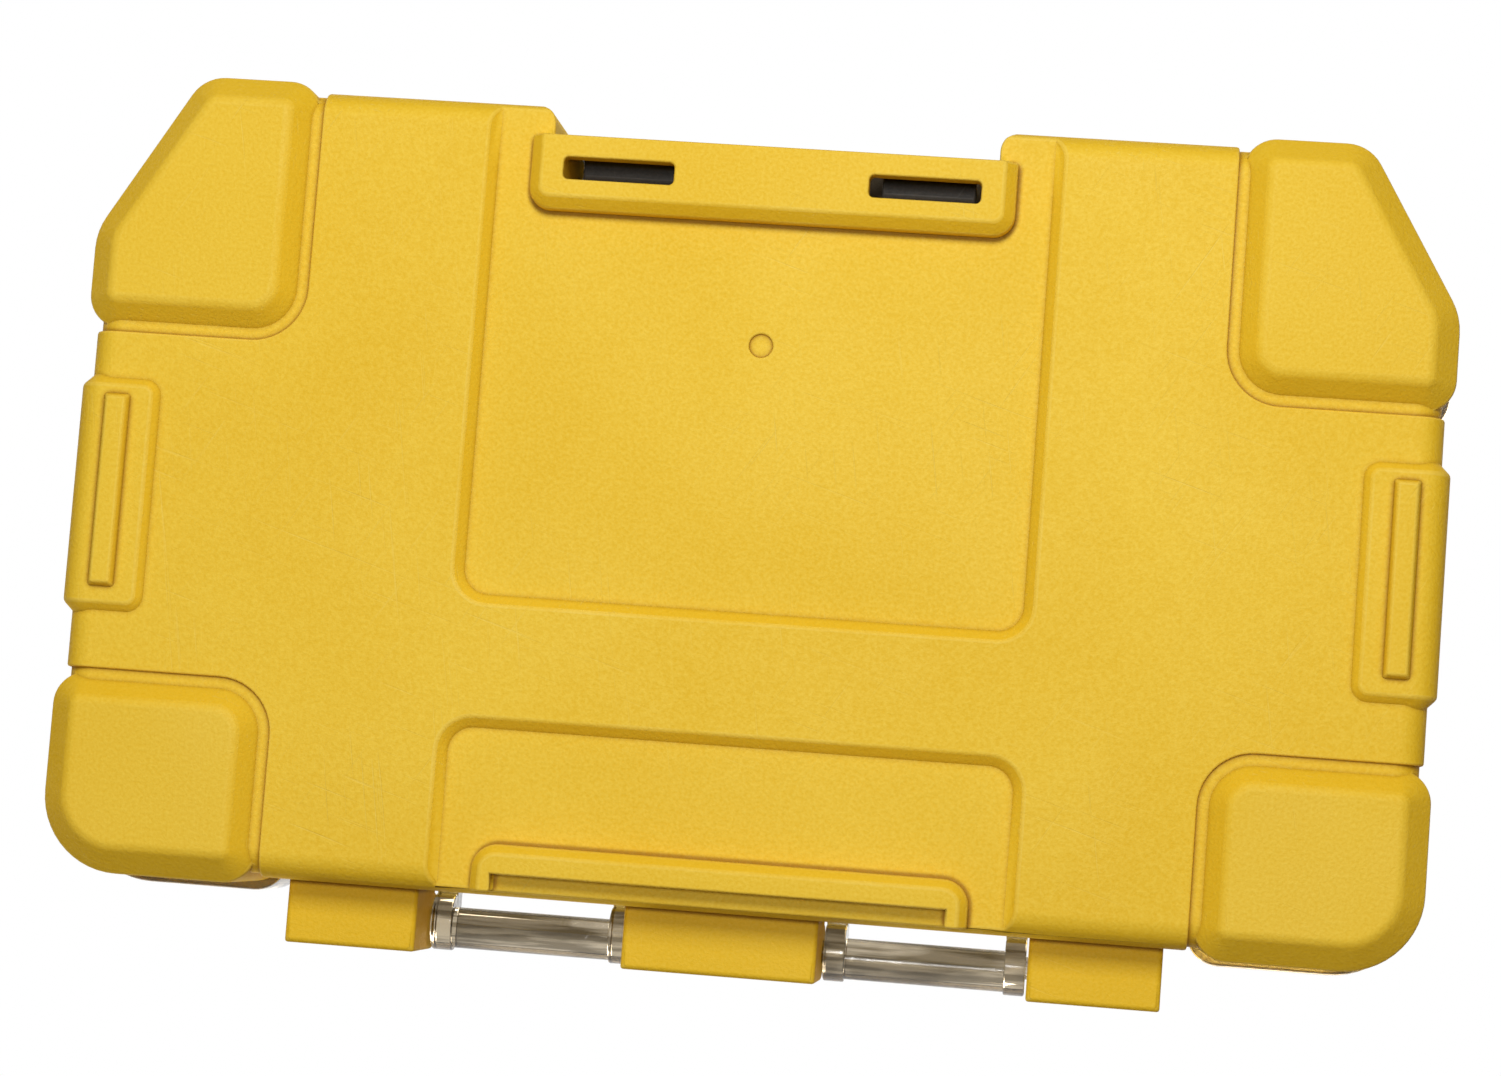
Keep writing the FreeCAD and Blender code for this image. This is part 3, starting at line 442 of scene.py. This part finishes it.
# %% Yellow tray, black latch, grey dividers: dark, light, slope shade, wear and highlight, corner shade
# The last colour of each is the painted shade for inner corners.
YELLOWS = ("E6BB29", "F3D046", "E8B90C", "F6DE78", "8F5C08")
BLACKS = ("403D39", "4F4B46", "403D39", "7E7A73", "24211D")
GREYS = ("343436", "434345", "343436", "77777A", "1E1D1C")
finishes = {
    "yellow_plastic": grained_plastic(
        "yellow_plastic", YELLOWS, roughness=0.55, grain_depth=0.08, grain_scale=2100, wear_and_highlight=0.28),
    "black_plastic": grained_plastic(
        "black_plastic", BLACKS, roughness=0.42, grain_depth=0.015, grain_scale=3200, wear_and_highlight=0.45),
    "divider_plastic": grained_plastic(
        "divider_plastic", GREYS, roughness=0.45, grain_depth=0.015, grain_scale=3200, wear_and_highlight=0.35),
}


def dress(piece, material):
    piece.data.materials.clear()
    piece.data.materials.append(material)


for node, piece in moulded.items():
    if SLOT[node] in finishes:
        dress(piece, finishes[SLOT[node]])

# %% [markdown]
# ## Clear plastic
#
# The lid is clear polycarbonate, polished on its flat walls and frosted on its corner bumpers. Its thick
# parts look faintly brown, because the plastic swallows a little light on the way. Along its barrels, dark
# and light streaks are painted into the colour as reflections. The lowest part of its rear rim is painted
# yellow, a painted reflection of the tray that it rests on. Hairlines make it duller here and there.

# %% The tint of the lid, with painted reflections
# Painted reflection streaks, stretched along the barrels.
STREAKS_PER_METRE = (60, 900, 900)
STREAK_RANGE = (0.42, 0.58)
RIM_BELOW, RIM_BEHIND = 25 * MM, 40 * MM
clear, tree, shader = new_material("clear_plastic")
coords = own_place(tree)
along = add_node(tree, "ShaderNodeMapping", {"Vector": coords, "Scale": STREAKS_PER_METRE})
reflection_noise = add_node(tree, "ShaderNodeTexNoise", {"Vector": along.outputs[0], "Scale": 1.0, "Detail": 3.0})
reflection_streaks = spread(tree, reflection_noise.outputs["Fac"], *STREAK_RANGE)
axes = add_node(tree, "ShaderNodeSeparateXYZ", {"Vector": coords}).outputs
# Painted reflection: the low rear rim is tinted yellow like the tray that shows in it.
low = combine(tree, "LESS_THAN", axes["Z"], RIM_BELOW)
rear = combine(tree, "GREATER_THAN", axes["Y"], RIM_BEHIND)
tint = blend(tree, combine(tree, "MULTIPLY", low, rear), "F2F0EC", "BE9226")
# Painted reflection: dark and light streaks on the barrels stand in for the surroundings seen in them.
tint = blend(tree, zone_mask(tree, "barrel"), tint, blend(tree, reflection_streaks, "5E5648", "D2CABB"))
tree.links.new(tint, shader.inputs["Base Color"])
body_tint = add_node(tree, "ShaderNodeVolumeAbsorption",
                     {"Color": screen_colour("DACBA4"), "Density": 120.0})
tree.links.new(body_tint.outputs[0], tree.nodes["Material Output"].inputs["Volume"])
print("tint of the lid:", len(tree.nodes), "nodes")

# %% Polish and frosting of the lid
POLISHED, DRIFT_DULL, HAIRLINE_DULL, FROST_DULL = 0.03, 0.06, 0.2, 0.3
FROST_DEPTH = 0.02 * MM
shader.inputs["Transmission Weight"].default_value = 1.0
shader.inputs["IOR"].default_value = 1.55
grain = add_node(tree, "ShaderNodeGroup", node_tree=grain_group).outputs
marks = add_node(tree, "ShaderNodeGroup", node_tree=marks_group).outputs
frosted = zone_mask(tree, "frosted")
polish = share(tree, grain["Drift"], DRIFT_DULL, share(tree, marks["Hairlines"], HAIRLINE_DULL, POLISHED))
tree.links.new(share(tree, frosted, FROST_DULL, polish), shader.inputs["Roughness"])
frost = combine(tree, "MULTIPLY", grain["Height"], frosted)
bump = add_node(tree, "ShaderNodeBump", {"Height": frost, "Strength": 1.0, "Distance": FROST_DEPTH})
tree.links.new(bump.outputs["Normal"], shader.inputs["Normal"])
print("with its polish:", len(tree.nodes), "nodes")

# %% [markdown]
# ## Light through the lid
#
# Rays bend in the lid, and a ray towards a lamp would stop at it and leave the tray black inside. So for
# shadow rays alone the lid is tinted see-through, which is what the eye sees under a clear lid.

# %% Let light into the closed box
see_through = add_node(tree, "ShaderNodeBsdfTransparent", {"Color": screen_colour("E4E0D8")})
towards_lamp = add_node(tree, "ShaderNodeLightPath").outputs["Is Shadow Ray"]
choice = add_node(tree, "ShaderNodeMixShader",
                  {0: towards_lamp, 1: shader.outputs[0], 2: see_through.outputs[0]})
tree.links.new(choice.outputs[0], tree.nodes["Material Output"].inputs["Surface"])
dress(moulded["clear_lid"], clear)
print("clear lid:", len(tree.nodes), "nodes in all")

# %% [markdown]
# ## The camera
#
# The camera stands almost half a metre below the box, a little towards the hinge and to one side, and is
# turned a few degrees, as the box lies slightly askew in the photograph. The numbers come from matching
# corners of the box with their places in the picture.

# %% Place the camera
CAMERA_PLACE = Vector((44.263, 38.225, -472.303)) * MM
CAMERA_TURN = [math.radians(angle) for angle in (-175.082, -4.877, -4.402)]
bpy.ops.object.camera_add(location=CAMERA_PLACE, rotation=CAMERA_TURN)
camera = bpy.context.object
camera.data.sensor_width = 36
camera.data.lens = 83.704
bpy.context.scene.camera = camera
print("camera at", [round(c / MM) for c in camera.location], "mm")

# %% [markdown]
# ## The floor
#
# The box stands on a pale floor like the top of a light table, which takes its shadow when it is seen from
# above. Further out, where the lamps no longer reach, it fades into the white background, so that no dark
# horizon shows. The photograph looks up through it, so its back is clear, and it keeps no light from the
# underside.

# %% Floor
FLOOR_SIZE, FLOOR_LEVEL = 6, -0.5 * MM
FADE_FROM, FADE_TO = 0.25, 0.9
bpy.ops.mesh.primitive_plane_add(size=FLOOR_SIZE, location=(0, 0, FLOOR_LEVEL))
floor = bpy.context.object
floor.name = "floor"
floor.visible_shadow = False
floor.visible_diffuse = False
floor_finish, tree, shader = new_material("pale_floor")
shader.inputs["Base Color"].default_value = screen_colour("F4F3F0")
shader.inputs["Roughness"].default_value = 0.8
side = add_node(tree, "ShaderNodeNewGeometry").outputs["Backfacing"]
away = add_node(tree, "ShaderNodeVectorMath", {0: own_place(tree)}, operation="LENGTH").outputs["Value"]
fade = add_node(tree, "ShaderNodeMapRange", {"Value": away, "From Min": FADE_FROM, "From Max": FADE_TO},
                interpolation_type="SMOOTHSTEP").outputs["Result"]
nothing = add_node(tree, "ShaderNodeBsdfTransparent").outputs[0]
choice = add_node(tree, "ShaderNodeMixShader",
                  {0: combine(tree, "MAXIMUM", side, fade), 1: shader.outputs[0], 2: nothing})
tree.links.new(choice.outputs[0], tree.nodes["Material Output"].inputs["Surface"])
dress(floor, floor_finish)
print("floor fades from", FADE_FROM, "to", FADE_TO, "m from the box")

# %% [markdown]
# ## Lamps and background
#
# One softbox shines on the underside from the latch side, and a weak lamp below the middle of the box
# reaches into the slots. Two more light the lid from the front and from behind. They aren't mirrored, as
# they would put white glints on walls that face away from the camera. The background is white for what
# looks at it. The soft light that it gives to the box is dim and warm, as light that has been thrown back
# by yellow plastic is.

# %% Lamps: place and size in metres, power in watts
LAMPS = {
    "underside_softbox": ((0.02, -0.23, -0.45), 1.55, 0.18),
    "slot_lamp": ((0.0, 0.0, -0.66), 1.35, 0.1),
    "lid_softbox": ((0.35, -0.5, 1.0), 9.0, 0.5),
    "rear_softbox": ((-0.5, 0.7, 0.8), 8.0, 0.5),
}
for name, (place, power, size) in LAMPS.items():
    turn = (-Vector(place)).to_track_quat("-Z", "Y").to_euler()
    bpy.ops.object.light_add(type="AREA", location=place, rotation=turn)
    lamp = bpy.context.object
    lamp.name = name
    lamp.data.energy = power
    lamp.data.size = size
    below_floor = place[2] < 0
    lamp.visible_glossy = below_floor
    print(name, "gives", power, "W from", "below" if below_floor else "above")

# %% Background
SOFT_LIGHT, SOFT_STRENGTH = (1, 0.76, 0.42, 1), 0.13
world = bpy.data.worlds.new("studio")
bpy.context.scene.world = world
world.use_nodes = True
tree = world.node_tree
soft_light = tree.nodes["Background"]
soft_light.inputs["Color"].default_value = SOFT_LIGHT
soft_light.inputs["Strength"].default_value = SOFT_STRENGTH
white = add_node(tree, "ShaderNodeBackground", {"Color": (1, 1, 1, 1), "Strength": 1.0})
rays = add_node(tree, "ShaderNodeLightPath").outputs
looked_at = combine(tree, "MAXIMUM", rays["Is Camera Ray"], rays["Is Glossy Ray"])
looked_at = combine(tree, "MAXIMUM", looked_at, rays["Is Transmission Ray"])
choice = add_node(tree, "ShaderNodeMixShader", {0: looked_at, 1: soft_light.outputs[0], 2: white.outputs[0]})
tree.links.new(choice.outputs[0], tree.nodes["World Output"].inputs["Surface"])
bpy.context.scene.view_settings.view_transform = "Standard"
print("soft light at", SOFT_STRENGTH, "and a white background")
